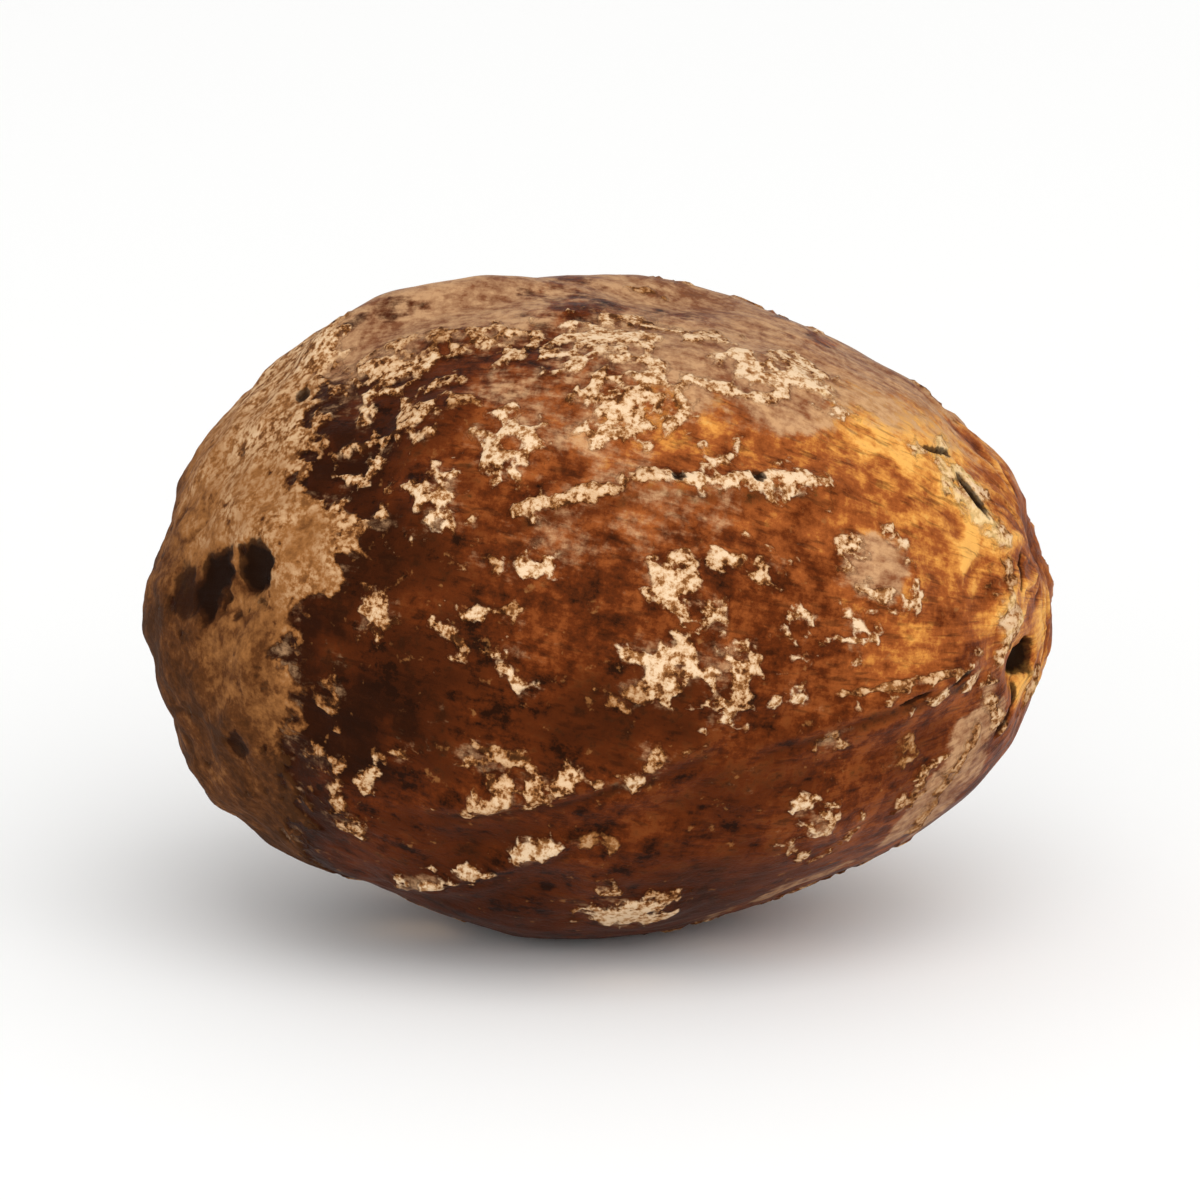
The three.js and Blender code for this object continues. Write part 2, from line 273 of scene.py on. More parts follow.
# Thin film that the shell shows through: wide ones over the top, torn open in places, and small ones.
WIDE_FILMS = [
    Patch(-5.5, 101, 20, 12, 0, 1.1),
    Patch(5, 96, 19, 12, 0, 1.1),
]
FILMS = [
    Patch(-1, 54, 7, 6, 10, 0.5),
    Patch(4.2, 67, 11, 6.5, -4, 1),
    Patch(1, 29, 9, 4, 8, 0.47),
    Patch(9, 22.5, 2.3, 2.2, 0, 1),
    Patch(11.3, -48, 7, 3, 53, 1.2),
    Patch(12.4, -33, 3, 2, 45, 0.9),
    Patch(6, -66, 6, 2.2, 12, 0.8),
]
FILM_RAGGED = 1.1
FILM_WAVELENGTH = 1.3
FILM_TEAR = (0.05, 0.4)  # the unevenness at which a tear begins, and at which it is widest open
FILM_TEAR_WAVELENGTH = 2.6
FILM_TEAR_LEVEL = 0.6
HALO_LEVEL = 0.32  # how strong the film is that goes on past a flake's edge
HALO_EDGE = (-0.6, 0.1)  # the depths in untorn skin between which it grows to that

# Bare shell that is darker or warmer than the rest. Some of the darkness on the lower front is painted
# shade.
DARKS = [
    # Beside the cap.
    Patch(-9.6, 7, 3, 3, 66, 1.25),
    Patch(-8.2, -9.5, 5.5, 4, 11, 1.6),
    Patch(-8.2, 48, 5, 6, 20, 1.1),
    Patch(-7, 52, 6, 6.5, 20, 0.8),
    Patch(-6.5, 24, 7, 5.4, 0, 0.75),
    Patch(-6.8, -3, 8, 8, 0, 0.85),
    # The lower front: partly dark shell, partly painted shade on the underside.
    Patch(-4.5, -30, 9, 4, 15, 0.65),
    Patch(-4, -48, 13, 11, 10, 0.7),
    Patch(0.5, -6, 9, 4.4, 10, 0.75),
    Patch(5, -22, 9, 6, 0, 0.6),
    Patch(3, -50, 11, 10, 0, 0.8),
    Patch(10, -28, 5, 5, 0, 0.5),
]
DARK_RAGGED = 1.4
DARK_WAVELENGTH = 1.2
DARK_BAND = (0.4, 3.6)  # dark up to the first distance from the cap, and plain from the second on
DARK_BAND_LEVEL = 0.9
WARMS = [
    Patch(9.4, 60, 8, 7, 0, 1.2),
    Patch(10.4, 32, 8, 9, 0, 0.62),
    Patch(3, 48, 14, 5, 4, 0.72),
    Patch(10, 8, 5, 5, 0, 0.55),
    Patch(2, 33, 12, 4, 8, 0.5),
    Patch(14, -20, 4, 5, 0, 0.6),
]
WARM_LEAST = 0.21
WARM_RISE = 0.14  # how much warmer the hilum end is than the blunt end
WARM_RISE_ALONG = (-6, 12)  # the places between which it grows warmer
WARM_GAIN = 0.55
SCAR_WARMTH = 0.26

# Patches for the sides that the lists above don't reach.
BACK_DARKS = Scatter(
    count=16, seed=5, along=(-8, 11), around=(110, 280), length=(3, 8), shortness=1,
    slimness=(0.3, 0.6), slant=(-5, 25), level=(0.6, 1),
)
BACK_FILMS = BACK_DARKS._replace(count=14, seed=3, level=(0.54, 0.9))
BACK_WARMS = BACK_DARKS._replace(count=10, seed=8, level=(0.54, 0.9))

# Ridges that the mace left, each with a furrow under it that holds painted shadow. The pale skin on the
# upper crests is partly a painted highlight.
RIDGES = [
    Ridge(Place(-3, 30.8), Place(2.2, 36.5), 0.8, 0.75),
    Ridge(Place(1.6, 36), Place(7.2, 39.4), 0.5, 1),
    Ridge(Place(-6, -24), Place(4, -10), -0.2, 0.6),
    Ridge(Place(-7.5, -52), Place(-0.5, -27), -0.3, 0.8),
    Ridge(Place(5, -12), Place(12.5, -4), -0.4, 0.8),
]
RIDGE_HEIGHT = 0.1
RIDGE_WIDTH = 0.34
RIDGE_STRAY = 0.25
RIDGE_STRAY_WAVELENGTH = 2.2
RIDGE_START = (-0.05, 0.08)  # the shares of its length between which a ridge rises to its full height
RIDGE_END = (0.92, 1.05)  # and those between which it fades out
FURROW_OFFSET = 0.55
FURROW_DEPTH = 0.1
# Painted shadow in the furrow under each ridge.
FURROW_PAINTED_SHADOW = 0.7

# The hilum end: a pale lip round the scar, slits in it, a deep pit, and puckers that run to a navel inside.
HILUM_REACH = (9, 11)  # it begins at the first place along, and is whole from the second on
HILUM_FRONT = 0.7  # how far the scar's middle lies in front of mid width
HILUM_UP = 2.0  # and how far above mid height
HILUM_RADIUS = 4.4
HILUM_STRAY = 0.6
HILUM_STRAY_WAVELENGTH = 2.6
SCAR_FADE = 1.5  # how far past its radius the scar goes on, fading
LIP_WIDTH = 0.45
LIP_LENGTH = 3.0  # about how far the lip goes on before it breaks off
LIP_HEIGHT = 0.14
LIP_LEVEL = 0.3
LIP_CHALK = 0.7
PUCKER_WAVELENGTH = 0.75  # at the scar's edge: the puckers run together towards its middle
PUCKER_LENGTH = 2.4
PUCKER_FADE = 2.5  # how far from the scar's middle they have their full height
PUCKER_HEIGHT = 0.17
PUCKER_WARMTH = 0.4
PUCKER_STRAY = 0.45  # radians
PUCKER_STRAY_WAVELENGTH = 2.5
NAVEL_RADIUS = 0.9
NAVEL_DEPTH = 0.4
PIT = Patch(14, -22, 1.5, 1.2, 0, 1.3)
PIT_DEPTH = 0.45
PIT_RAGGED = 0.25
SLITS = [
    Patch(13.5, -36, 2, 0.4, 35, 1),
    Patch(12.1, 50, 1.9, 0.45, -34, 1),
    Patch(11, 61, 1.7, 0.35, 30, 0.8),
    Patch(13.8, 29, 1.5, 0.35, -86, 0.8),
    Patch(11.8, -7.2, 1, 0.4, 12, 1),
    Patch(10.3, -9, 1.4, 0.25, 12, 0.8),
    # Dots on the upper ridge.
    Patch(2.5, 36.5, 0.45, 0.4, 0, 1),
    Patch(5.1, 38, 0.5, 0.4, 0, 1),
]
SLIT_DEPTH = 0.2

# Finest relief.
WRINKLE_HEIGHT = 0.04
WRINKLE_WAVELENGTH = 0.7
LUMP_HEIGHT = 0.03
CAP_LUMP_HEIGHT = 0.28
LUMP_WAVELENGTH = 1.4
CAP_LUMP_WAVELENGTH = 2.4
CAP_WRINKLE_HEIGHT = 0.05
CAP_WRINKLE_WAVELENGTH = 0.9

# Colours as they look in plain daylight, in eight-bit red, green and blue.
SHELL_DARK = (32, 11, 4)
SHELL_BROWN = (94, 40, 12)
SHELL_RUST = (152, 80, 35)
SHELL_GOLD = (204, 133, 60)
SHELL_HONEY = (232, 170, 86)
FILM_BROWN = (124, 76, 48)
FILM_TAN = (192, 149, 108)
SKIN_UMBER = (64, 36, 16)
SKIN_BROWN = (92, 53, 25)
SKIN_TAN = (148, 97, 52)
SKIN_CREAM = (202, 162, 120)
SKIN_WHITE = (226, 196, 160)
SKIN_STRAW = (238, 202, 136)
# Painted shade for the floors of gaps, slits and the pit.
GAP_SHADE_BLACK = (24, 10, 5)
FLOOR_WHITE = (250, 250, 249)
EIGHT_BIT_TOP = 255

# Patterns, and how far they sway a value up and down.
PATTERNS = {
    "streaks": Pattern("grain", 0.32, 4, 0.65),
    "flecks": Pattern("grain", 0.2, 2, 0.5),
    "blotches": Pattern("place", 2.2, 5, 0.6),
    "mottle": Pattern("place", 0.75, 5, 0.7),
    "specks": Pattern("place", 0.5, 3, 0.6),
    "dapple": Pattern("place", 0.36, 4, 0.65),
    "grit": Pattern("place", 0.17, 3, 0.6),
}
PATTERN_MIDDLE = 0.5
WARM_SWAY = {"blotches": 0.6, "streaks": 0.6, "mottle": 1.3}
DARK_SWAY = {"blotches": 0.6, "mottle": 2.4, "streaks": 0.8}
FILM_SWAY = {"streaks": 0.9, "dapple": 0.9, "blotches": 1.2}
HAZE_SWAY = {"streaks": 0.8, "blotches": 0.8}
SKIN_SWAY = {"grit": 0.6}
CHALK_SWAY = {"blotches": 0.6}
PALE_SWAY = {"mottle": 0.4, "dapple": 0.3, "grit": 0.2}
SPECKLE_SWAY = {"grit": 0.6}
GAP_SWAY = {"dapple": 0.9}

# Colours that follow a value: bare shell by its warmth, film by its haze, and skin by its paleness.
SHELL_TONES = [(0, SHELL_DARK), (0.3, SHELL_BROWN), (0.6, SHELL_RUST), (0.82, SHELL_GOLD), (1, SHELL_HONEY)]
FILM_TONES = [(0.3, FILM_BROWN), (0.7, FILM_TAN)]
SKIN_TONES = [(0, SKIN_UMBER), (0.16, SKIN_BROWN), (0.38, SKIN_TAN), (0.7, SKIN_CREAM), (1, SKIN_WHITE)]

# How much of a colour lies over the one below it.
DARK_SHARE = Slope(0.3, 1.1, 0, 0.92)
FLECK_SHARE = Slope(0.56, 0.7, 0, 0.45)
SPECK_SHARE = Slope(0.64, 0.74, 0, 0.6)
FILM_SHARE = Slope(0.25, 0.9, 0, 0.9)
SHADOW_RIM_START = Slope(-0.2, -0.05, 0, 0.35)  # the painted shadow just outside skin, a dark band round each flake
SHADOW_RIM_END = Slope(-0.06, 0, 1, 0)
SKIN_SHARE = Slope(-0.04, 0.24, 0, 1)
SKIN_OPACITY = 0.95
STRAW_SHARE = Slope(0.8, 1.2, 0, 0.6)
GAP_EDGE_SHARE = Slope(0.15, 0.45, 0, 0.85)
# How much painted shade lies on the floors of gaps, slits and the pit.
GAP_SHADE_SHARE = Slope(0.5, 0.95, 0, 0.95)

# What makes skin darker or paler: dark speckles, strongest where it is pale, and a point's depth in it.
SPECKLE = Slope(0.34, 0.62, -0.65, 0)
SPECKLE_BY_CHALK = Slope(0.25, 0.8, 0.06, 1)
PALE_BY_DEPTH = Slope(0, 0.6, -0.2, 0.1)

# Gloss and the finest bumps.
SHELL_SPECULAR = 0.06
SHELL_GLINT = (255, 206, 160)
SHELL_ROUGHNESS = Slope(0.3, 0.7, 0.36, 0.5)
SKIN_ROUGHNESS = 0.32  # added where skin lies
BUMPS = {"streaks": 0.5, "grit": 0.35, "mottle": 0.6}
SKIN_BUMP = 0.6
BUMP_HEIGHT = 0.06  # millimetres

# The stage, in metres and watts.
FLOOR_SIZE = 4.0
FLOOR_ROUGHNESS = 0.7
CAMERA_DISTANCE = 0.55
CAMERA_ELEVATION = 15  # degrees
CAMERA_LENS = 500  # millimetres
CAMERA_NEAREST = 0.01
WORLD_WHITE = (1, 1, 1, 1)
WORLD_STRENGTH = 0.72
SOFTBOXES = [
    Softbox("key_softbox", (0.2, -0.5, 0.8), 1.0, 1.0, 4.8),
    Softbox("front_softbox", (-0.1, -1.0, 0.35), 1.4, 0.6, 3.6),
]


def linear(colour):
    """An eight-bit colour as the linear values that a shader takes."""
    shares = [value / EIGHT_BIT_TOP for value in colour]
    return (*Color(shares).from_srgb_to_scene_linear(), 1.0)


def smooth(values, low, high):
    """0 up to low, 1 from high on, and a smooth slope between them."""
    share = np.clip((values - low) / (high - low), 0, 1)
    return share * share * (3 - 2 * share)


def bell(distances, width):
    """1 at no distance, and less and less on both sides."""
    return np.exp(-((distances / width) ** 2))


def between(ends, share):
    """The number that lies a share of the way from the first end to the second."""
    first, second = ends
    return first + (second - first) * share


def unevenness(points, wavelength, octaves=1):
    """Smooth noise at each point, between about -1 and 1."""
    rows = (points / wavelength).tolist()
    return np.array([noise.fractal(row, OCTAVE_LOSS, OCTAVE_STEP, octaves) for row in rows])


def lace(points, cell):
    """A net of threads round cells of one size: 1 on a thread and 0 inside a cell."""
    distances = [noise.voronoi(row)[0] for row in (points / cell).tolist()]
    gaps = np.array([nearest[1] - nearest[0] for nearest in distances])
    return 1 - smooth(gaps, 0, LACE_THREAD)


def half_size(patch):
    """The mean of a patch's half length and half width."""
    return (patch.length + patch.width) / 4


def cube_sphere(splits):
    """Points of a unit sphere and its quads: a cube, its faces split evenly and drawn out round."""
    steps = np.tan(np.linspace(-1, 1, splits + 1) * math.pi / 4)
    across, up = np.meshgrid(steps, steps, indexing="ij")
    corner = np.arange((splits + 1) ** 2).reshape(splits + 1, splits + 1)
    quad_corners = [corner[:-1, :-1], corner[1:, :-1], corner[1:, 1:], corner[:-1, 1:]]
    face_quads = np.stack(quad_corners, -1).reshape(-1, 4)
    points, quads = [], []
    for axis in range(3):
        for sign in (-1, 1):
            face = np.empty((*across.shape, 3))
            face[..., axis] = sign
            face[..., (axis + 1) % 3] = sign * across
            face[..., (axis + 2) % 3] = up
            quads.append(face_quads + len(points) * corner.size)
            points.append(face.reshape(-1, 3))
    points = np.concatenate(points)
    points /= np.linalg.norm(points, axis=1, keepdims=True)
    welded = np.round(points, WELD_DECIMALS)
    _, first, shared = np.unique(welded, axis=0, return_index=True, return_inverse=True)
    return points[first], shared.reshape(-1)[np.concatenate(quads)]


def solid_tree():
    """The solid's faces, ready for rays."""
    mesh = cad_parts[NODE].data
    return BVHTree.FromPolygons([v.co for v in mesh.vertices], [p.vertices for p in mesh.polygons])


def smoothed(values, edges, rounds):
    """Each value drawn towards the mean of its neighbours, several times."""
    first, second = edges.T
    ends = np.concatenate([first, second])
    others = np.concatenate([second, first])
    neighbours = np.bincount(ends)
    for _ in range(rounds):
        means = np.bincount(ends, values[others]) / neighbours
        values = (values + means) / 2
    return values


class Shell:
    """The nutmeg's fine mesh, with the place of each point on the shell."""

    def __init__(self):
        low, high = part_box(NODE)
        self.centre = (low + high) / 2
        half = np.array(high - low) / 2
        directions, quads = cube_sphere(FACE_SPLITS)
        directions = directions * half
        directions /= np.linalg.norm(directions, axis=1, keepdims=True)
        self.mesh = bpy.data.meshes.new(NODE + "_shell")
        self.mesh.from_pydata(directions.tolist(), [], quads.tolist())
        edges = np.empty(len(self.mesh.edges) * 2, int)
        self.mesh.edges.foreach_get("vertices", edges)
        reach = smoothed(self.reaches(directions), edges.reshape(-1, 2), FACET_SMOOTHING)
        self.points = (np.array(self.centre) + directions * reach[:, None]) / MM
        self.points[:, 2] = np.maximum(self.points[:, 2], 0)
        self.write()
        self.normals = np.empty(len(self.points) * 3)
        self.mesh.vertex_normals.foreach_get("vector", self.normals)
        self.normals = self.normals.reshape(-1, 3)
        self.along = self.points[:, 0]
        self.up = self.points[:, 2] - self.centre.z / MM
        self.around = np.degrees(np.arctan2(self.up, -self.points[:, 1]))
        self.radius = np.hypot(self.points[:, 1], self.up)

    def reaches(self, directions):
        """How far the solid's surface lies from its centre in each direction."""
        tree = solid_tree()
        return np.array([tree.ray_cast(self.centre, row)[3] for row in directions.tolist()])

    def write(self):
        self.mesh.vertices.foreach_set("co", (self.points * MM).ravel())
        self.mesh.update()

    def raise_by(self, heights):
        """Moves each point out by its height, but not below the surface that the seed lies on."""
        self.points = self.points + self.normals * heights[:, None]
        self.points[:, 2] = np.maximum(self.points[:, 2], 0)
        self.write()

    def store(self, name, values):
        """Keeps one number, or one vector, for each point, for the material to read."""
        kind, key = ("FLOAT", "value") if values.ndim == 1 else ("FLOAT_VECTOR", "vector")
        attribute = self.mesh.attributes.new(name, kind, "POINT")
        attribute.data.foreach_set(key, values.astype(np.float32).ravel())

    def grain(self):
        """A place for each point in which streaks along the shell are as long as they are wide."""
        angle = np.radians(self.around + GRAIN_TWIST * self.along)
        return np.stack([
            self.along / GRAIN_STRETCH,
            GRAIN_RADIUS * np.cos(angle),
            GRAIN_RADIUS * np.sin(angle),
        ], 1)

    def turn(self, around):
        """Degrees from an angle round the shell up to each point, from -180 to 180."""
        return (self.around - around + 180) % 360 - 180

    def depth_in(self, patch):
        """How many millimetres each point lies inside an oval patch: 0 at its edge and below 0 outside."""
        arc = np.radians(self.turn(patch.around)) * self.radius
        nearest = np.argmin(np.hypot(self.along - patch.along, arc))
        offsets = self.points - self.points[nearest]
        normal = Vector(self.normals[nearest])
        lengthways = Vector((1, 0, 0)) - normal * normal.x
        lengthways = Matrix.Rotation(math.radians(patch.slant), 3, normal) @ lengthways.normalized()
        crossways = normal.cross(lengthways)
        share = np.hypot(offsets @ lengthways / (patch.length / 2), offsets @ crossways / (patch.width / 2))
        share += FAR_OUTSIDE * (1 - smooth(self.normals @ normal, *OTHER_SIDE))
        return (1 - share) * half_size(patch)

    def above(self, ridge):
        """How far round the shell each point lies above a ridge, and how whole the ridge is beside it."""
        share = (self.along - ridge.start.along) / (ridge.end.along - ridge.start.along)
        around = between((ridge.start.around, ridge.end.around), np.clip(share, 0, 1))
        kept = smooth(share, *RIDGE_START) * (1 - smooth(share, *RIDGE_END))
        return np.radians(self.turn(around)) * self.radius, kept


def soft_patches(shell, patches, edge, stray=0):
    """The strongest of several patches at each point, their edges strayed by so many millimetres."""
    strongest = np.zeros(len(shell.points))
    for patch in patches:
        depth = (shell.depth_in(patch) + stray) / half_size(patch)
        strongest = np.maximum(strongest, patch.level * smooth(depth, *edge))
    return strongest


def drawn_patch(draw, kind, index):
    """One patch of a kind, drawn at random within its own share of the way round."""
    length = between(kind.length, draw.random() ** kind.shortness)
    return Patch(
        along=draw.uniform(*kind.along),
        around=between(kind.around, (index + draw.random()) / kind.count),
        length=length,
        width=length * draw.uniform(*kind.slimness),
        slant=draw.uniform(*kind.slant),
        level=draw.uniform(*kind.level),
    )


def back_patches(kind):
    """Soft patches of one kind for the sides that the front lists don't reach."""
    draw = np.random.default_rng(kind.seed)
    return [drawn_patch(draw, kind, index) for index in range(kind.count)]


def back_flakes():
    """Flakes of skin for the sides that the front list doesn't reach."""
    draw = np.random.default_rng(BACK_FLAKES.seed)
    flakes = []
    for index in range(BACK_FLAKES.count):
        patch = drawn_patch(draw, BACK_FLAKES, index)
        flakes.append(Flake(*patch, chalk=draw.uniform(*BACK_CHALK)))
    return flakes


def cap_depth(shell):
    """How far inside the cap of skin each point lies, in millimetres."""
    alongs, arounds = zip(*CAP_EDGE)
    return np.interp(shell.around, arounds, alongs, period=360) - shell.along


def cap_chalk_and_shade(shell, creases):
    """How pale the cap is, with painted light and shade in it: paler higher up, darker towards its far end
    and in its creases.
    """
    chalk = CAP_CHALK + CAP_PAINTED_LIGHT_UP * shell.up
    chalk += CAP_PAINTED_SHADE_ALONG * np.clip(shell.along - CAP_MIDDLE, -CAP_MARGIN, CAP_MARGIN)
    chalk = np.maximum(chalk, CAP_CHALK_LEAST)
    clouds = CAP_CLOUDS * unevenness(shell.points, CAP_CLOUD_WAVELENGTH, RAGGED)
    # The creases are darkened with painted shade.
    return chalk + clouds - CREASE_PAINTED_SHADE * creases


def skin_cover(shell, crests, lip, creases):
    """How many millimetres deep in skin each point lies, how pale that skin is, and its depth untorn."""
    levels = np.full(len(shell.points), BARE_LEVEL)
    chalk = np.zeros(len(shell.points))
    layers = [(np.minimum(CAP_LEVEL, cap_depth(shell)), cap_chalk_and_shade(shell, creases))]
    for flake in FLAKES + back_flakes():
        layers.append((np.minimum(flake.level, shell.depth_in(flake)), flake.chalk))
    # Skin along the ridge crests: partly pale skin, partly a painted highlight.
    for crest, ridge in crests:
        layers.append((between((BARE_LEVEL, ridge.skin), crest), ridge.chalk))
    layers.append((between((BARE_LEVEL, LIP_LEVEL), lip), LIP_CHALK))
    for depth, paleness in layers:
        chalk = np.where(depth > levels, paleness, chalk)
        levels = np.maximum(levels, depth)
    torn = SKIN_RAGGED * unevenness(shell.points, SKIN_WAVELENGTH, RAGGED)
    threads = LACE_STRENGTH * (lace(shell.points, LACE_CELL) - LACE_NEUTRAL)
    return levels + torn + threads, chalk, levels


def ridge_relief(shell):
    """Each ridge with the height of its crest, and the depth of the furrows under them, all from 0 to 1."""
    stray = RIDGE_STRAY * unevenness(shell.points, RIDGE_STRAY_WAVELENGTH)
    crests = []
    furrow = np.zeros(len(shell.points))
    for ridge in RIDGES:
        above, kept = shell.above(ridge)
        crests.append((kept * bell(above + stray, RIDGE_WIDTH), ridge))
        furrow = np.maximum(furrow, kept * bell(above + stray + FURROW_OFFSET, RIDGE_WIDTH))
    return crests, furrow


def hilum_relief(shell):
    """The scar, the lip round it and the navel in it, from 0 to 1, and its puckers, from -1 to 1."""
    points = shell.points
    back = points[:, 1] + HILUM_FRONT
    up = shell.up - HILUM_UP
    from_axis = np.hypot(back, up) + HILUM_STRAY * unevenness(points, HILUM_STRAY_WAVELENGTH)
    end = smooth(shell.along, *HILUM_REACH)
    lip = end * bell(from_axis - HILUM_RADIUS, LIP_WIDTH)
    lip *= smooth(unevenness(points, LIP_LENGTH), *BREAKS)
    scar = end * (1 - smooth(from_axis, HILUM_RADIUS, HILUM_RADIUS + SCAR_FADE))
    turned = np.arctan2(up, back) + PUCKER_STRAY * unevenness(points, PUCKER_STRAY_WAVELENGTH, LUMPY)
    spokes = HILUM_RADIUS / PUCKER_WAVELENGTH
    rays = np.stack([spokes * np.cos(turned), spokes * np.sin(turned), from_axis / PUCKER_LENGTH], 1)
    puckers = scar * smooth(from_axis, 0, PUCKER_FADE) * unevenness(rays, 1, LUMPY)
    navel = end * bell(from_axis, NAVEL_RADIUS)
    return Hilum(lip, scar, puckers, navel)


def film_cover(shell, halo):
    """How strong the thin film is at each point."""
    stray = FILM_RAGGED * unevenness(shell.points, FILM_WAVELENGTH, RAGGED)
    tears = smooth(unevenness(shell.points, FILM_TEAR_WAVELENGTH, CRUMBLY), *FILM_TEAR)
    wide_film = soft_patches(shell, WIDE_FILMS + back_patches(BACK_FILMS), HAZY, stray)
    return np.maximum.reduce([
        wide_film * (1 - FILM_TEAR_LEVEL * tears),
        soft_patches(shell, FILMS, HAZY, stray),
        HALO_LEVEL * smooth(halo, *HALO_EDGE),
    ])


def shell_darkness_and_shade(shell, furrow):
    """How dark bare shell is at each point, with painted shade on the lower front and in the furrows under
    the ridges.
    """
    stray = DARK_RAGGED * unevenness(shell.points, DARK_WAVELENGTH, CRUMBLY)
    patches = soft_patches(shell, DARKS + back_patches(BACK_DARKS), GENTLE, stray)
    band = 1 - smooth(-cap_depth(shell) - stray, *DARK_BAND)
    # The furrows under the ridges are darkened with painted shadow.
    return np.maximum.reduce([patches, DARK_BAND_LEVEL * band, FURROW_PAINTED_SHADOW * furrow])


def shell_warmth(shell, hilum):
    """How warm bare shell is at each point."""
    warmth = WARM_LEAST + WARM_RISE * smooth(shell.along, *WARM_RISE_ALONG)
    warmth += WARM_GAIN * soft_patches(shell, WARMS + back_patches(BACK_WARMS), GENTLE)
    return warmth + PUCKER_WARMTH * hilum.puckers + SCAR_WARMTH * (hilum.scar - hilum.navel)


def build_shell():
    """The shell's mesh, with its relief and with what the material reads at each point."""
    shell = Shell()
    points = shell.points
    grain = shell.grain()
    crests, furrow = ridge_relief(shell)
    hilum = hilum_relief(shell)
    slits = soft_patches(shell, SLITS, SHARP)
    torn = unevenness(points, GAP_WAVELENGTH, RAGGED)
    pit = soft_patches(shell, [PIT], SHARP, PIT_RAGGED * torn)
    gaps = soft_patches(shell, CAP_GAPS, SHARP, GAP_RAGGED * torn)
    cap = smooth(cap_depth(shell), 0, CAP_FADE)
    creases = cap * bell(unevenness(points, CREASE_WAVELENGTH, LUMPY), CREASE_WIDTH)
    creases *= smooth(unevenness(points, CREASE_LENGTH), *BREAKS)
    skin, chalk, halo = skin_cover(shell, crests, hilum.lip, creases)
    cover = smooth(skin, 0, SKIN_EDGE)

    shell.store("grain", grain)
    shell.store("skin", skin)
    # On the cap, this paleness holds painted light and shade as well.
    shell.store("chalk", chalk)
    shell.store("film", film_cover(shell, halo))
    # The dark field holds painted shade as well as dark shell.
    shell.store("dark", shell_darkness_and_shade(shell, furrow))
    shell.store("warm", shell_warmth(shell, hilum))
    shell.store("gap", np.maximum.reduce([gaps, slits, pit]))

    shell.raise_by(
        SKIN_THICKNESS * cover
        + RIDGE_HEIGHT * np.maximum.reduce([crest for crest, _ in crests])
        - FURROW_DEPTH * furrow
        + LIP_HEIGHT * hilum.lip
        + PUCKER_HEIGHT * hilum.puckers
        - NAVEL_DEPTH * hilum.navel
        - SLIT_DEPTH * slits
        - PIT_DEPTH * pit
        - GAP_DEPTH * gaps
        - CREASE_DEPTH * creases
        + WRINKLE_HEIGHT * unevenness(grain, WRINKLE_WAVELENGTH, LUMPY) * (1 - cover)
        + LUMP_HEIGHT * unevenness(points, LUMP_WAVELENGTH, LUMPY)
        + CAP_LUMP_HEIGHT * cap * unevenness(points, CAP_LUMP_WAVELENGTH, LUMPY)
        + CAP_WRINKLE_HEIGHT * cap * unevenness(points, CAP_WRINKLE_WAVELENGTH, RAGGED)
    )
    return shell.mesh


